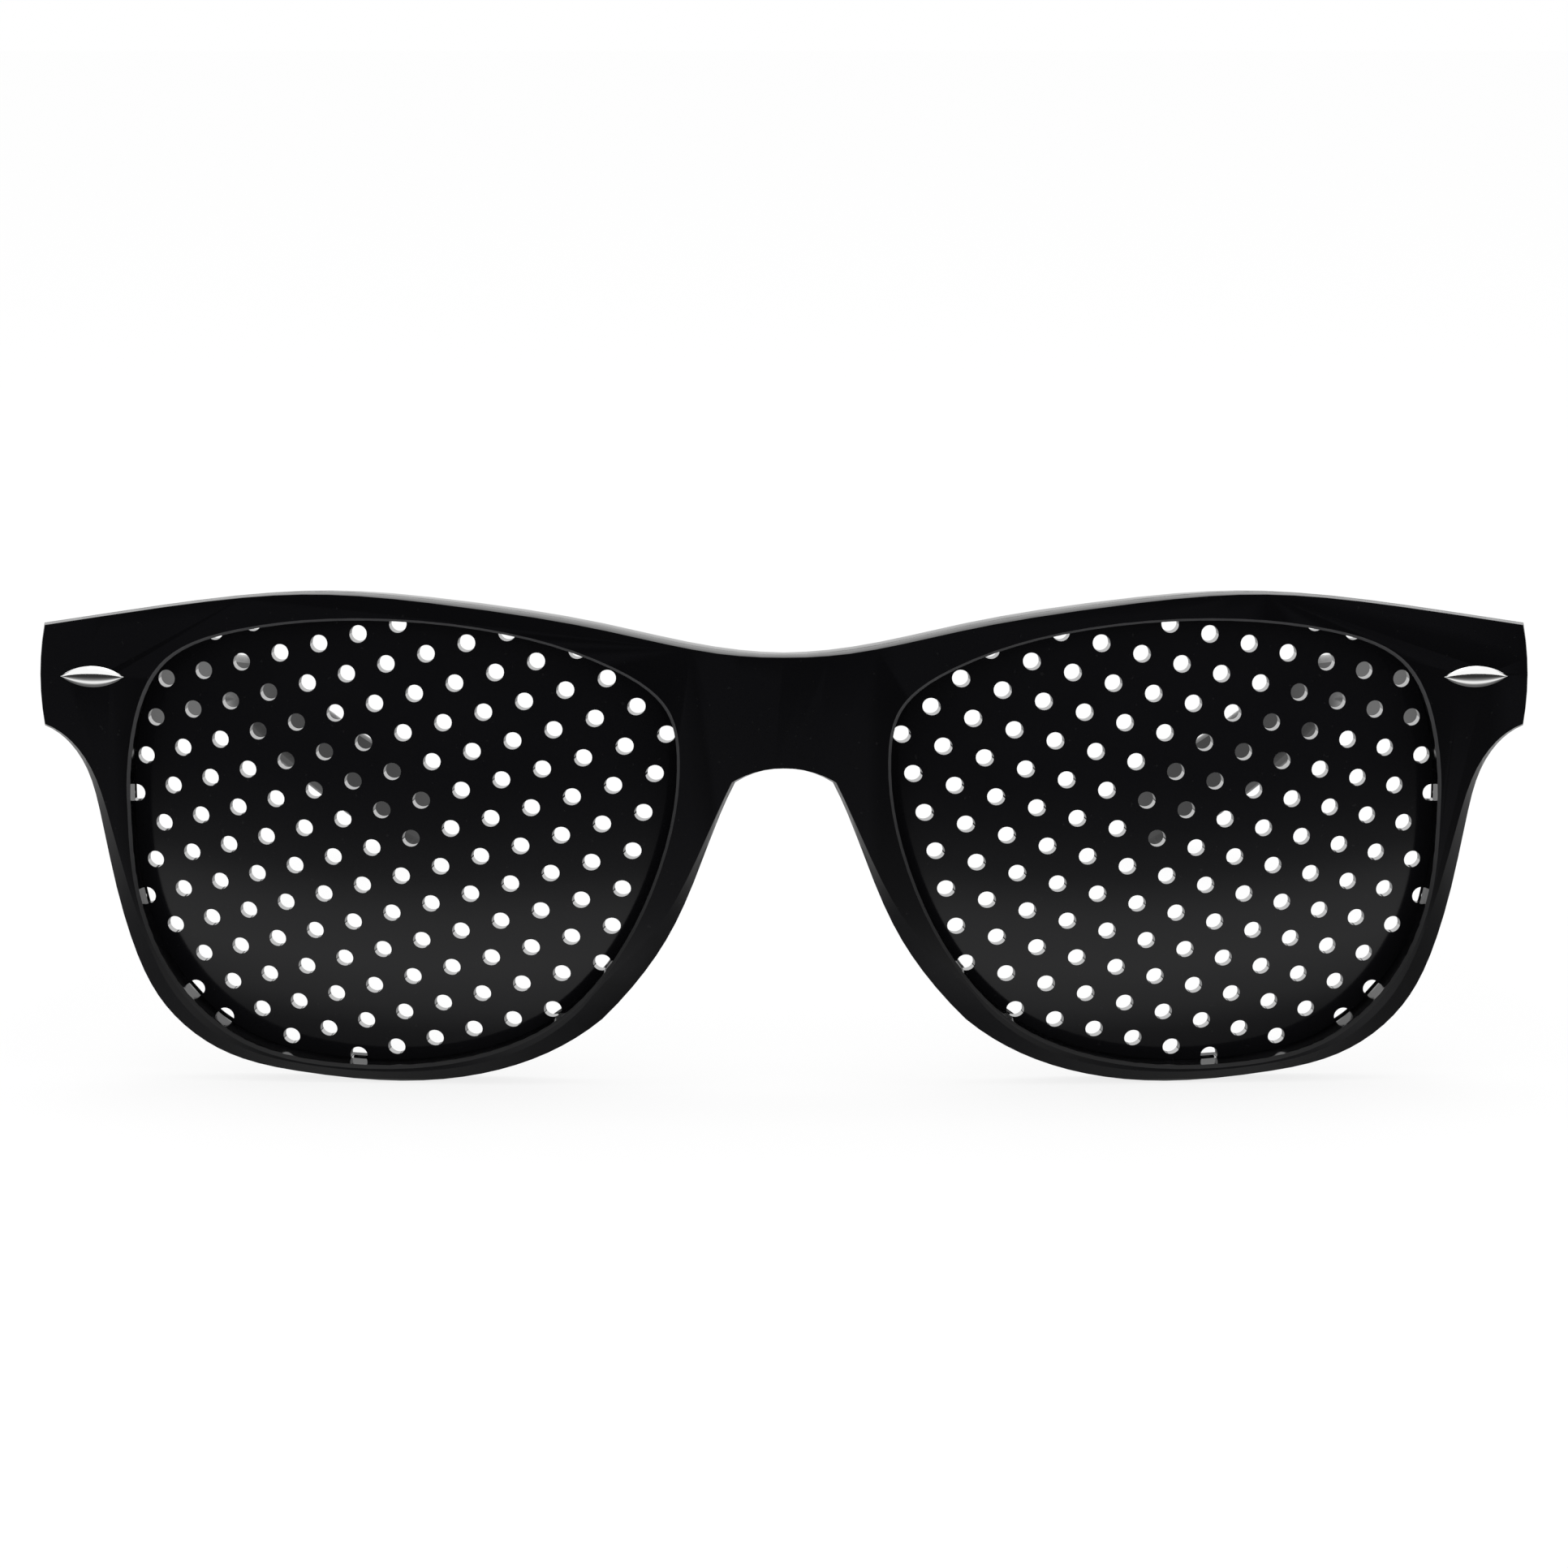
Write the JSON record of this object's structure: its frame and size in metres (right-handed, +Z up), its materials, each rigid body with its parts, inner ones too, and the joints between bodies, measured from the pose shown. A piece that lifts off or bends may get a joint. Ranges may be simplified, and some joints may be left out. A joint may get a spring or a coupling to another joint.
{
  "type": "pinhole glasses",
  "caption": "Pinhole glasses: a plastic front with perforated plates in place of lenses and two folding temples on screwed hinges.",
  "frame": {"origin": "on the table under the middle of the pair, which rests on its rims and temple tips with the temples open", "axes": "+X to the wearer's left, +Y back along the temples, +Z up; the front faces -Y"},
  "size_m": [0.1448, 0.1499, 0.0493],
  "materials": {
    "frame_plastic": "polished black moulded plastic",
    "plate_plastic": "smooth black moulded plastic",
    "shield_metal": "polished",
    "hinge_metal": "satin",
    "screw_metal": "satin"
  },
  "bodies": {
    "front": {"front_frame": "frame_plastic", "left_pinhole_plate": "plate_plastic", "right_pinhole_plate": "plate_plastic", "left_front_shield": "shield_metal", "right_front_shield": "shield_metal", "left_front_hinge_leaf": "hinge_metal", "right_front_hinge_leaf": "hinge_metal", "left_hinge_screw": "screw_metal", "right_hinge_screw": "screw_metal"},
    "left_temple": {"left_temple": "frame_plastic", "left_temple_hinge_leaf": "hinge_metal"},
    "right_temple": {"right_temple": "frame_plastic", "right_temple_hinge_leaf": "hinge_metal"}
  },
  "joints": [
    {"name": "left_temple_hinge", "type": "hinge", "parent": "front", "child": "left_temple", "pos_m": [0.0654, -0.06011, 0.03938], "axis": [0, 0.1632, 0.9866], "range_deg": [0, 81.2]},
    {"name": "right_temple_hinge", "type": "hinge", "parent": "front", "child": "right_temple", "pos_m": [-0.0654, -0.06011, 0.03938], "axis": [0, -0.1632, -0.9866], "range_deg": [0, 74]}
  ]
}
